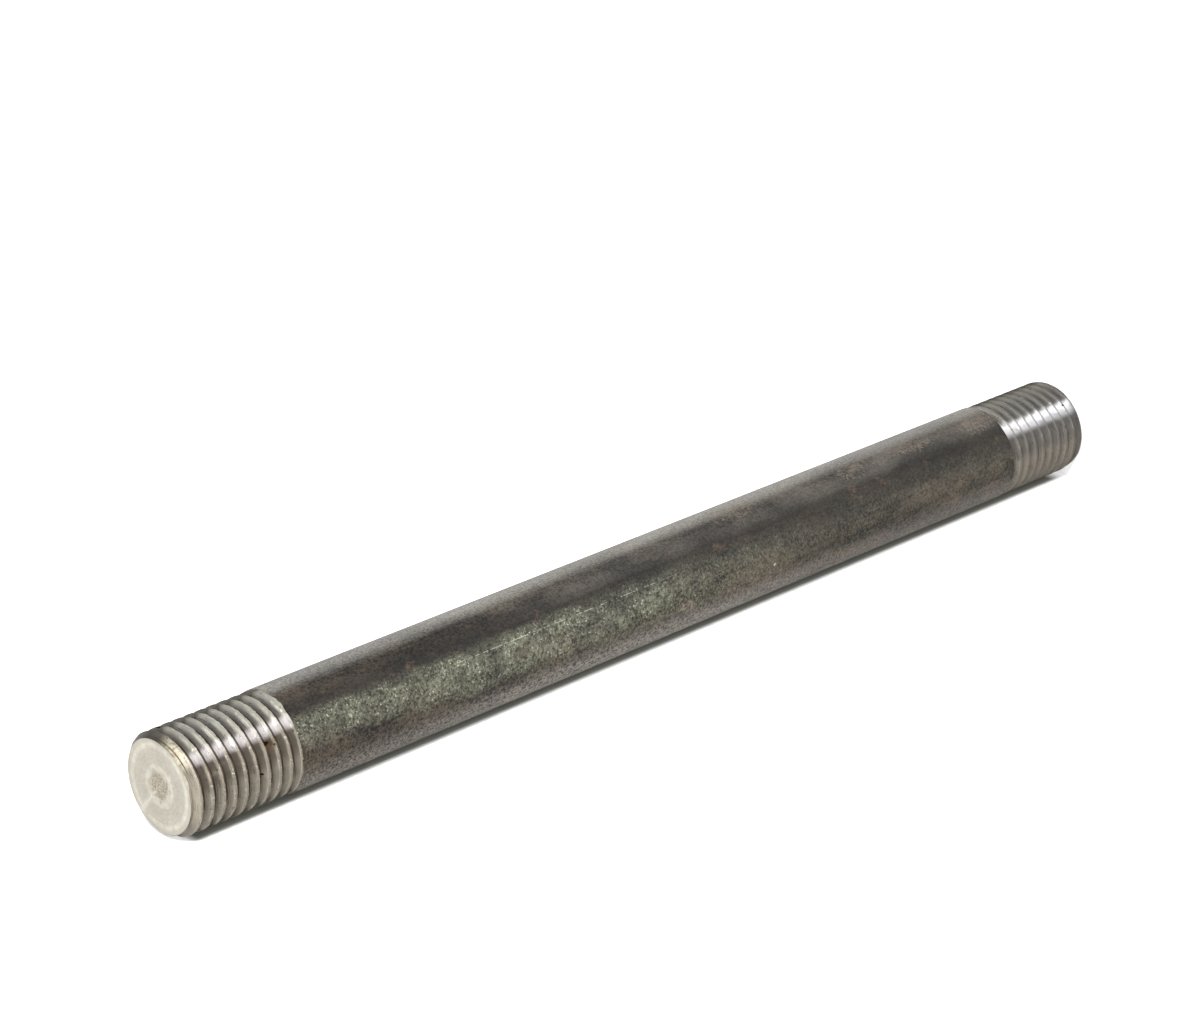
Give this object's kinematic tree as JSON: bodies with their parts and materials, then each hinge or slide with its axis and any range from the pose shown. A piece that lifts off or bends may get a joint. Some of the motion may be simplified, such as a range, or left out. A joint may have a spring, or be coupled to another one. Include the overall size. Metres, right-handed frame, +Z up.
{
  "type": "double-ended suspension stud",
  "caption": "Long round steel stud with a coarse right-hand thread and a chamfered flat face at each end.",
  "frame": {"origin": "middle of the lower end face, on the surface that the stud stands on", "axes": "+Z up along the stud's axis from the lower face to the upper face"},
  "size_m": [0.0254, 0.0254, 0.3048],
  "materials": {
    "stud": "hot-rolled mill scale on the shank, bright cut steel on threads and faces"
  },
  "bodies": {
    "root": {"stud": "stud"}
  },
  "joints": []
}
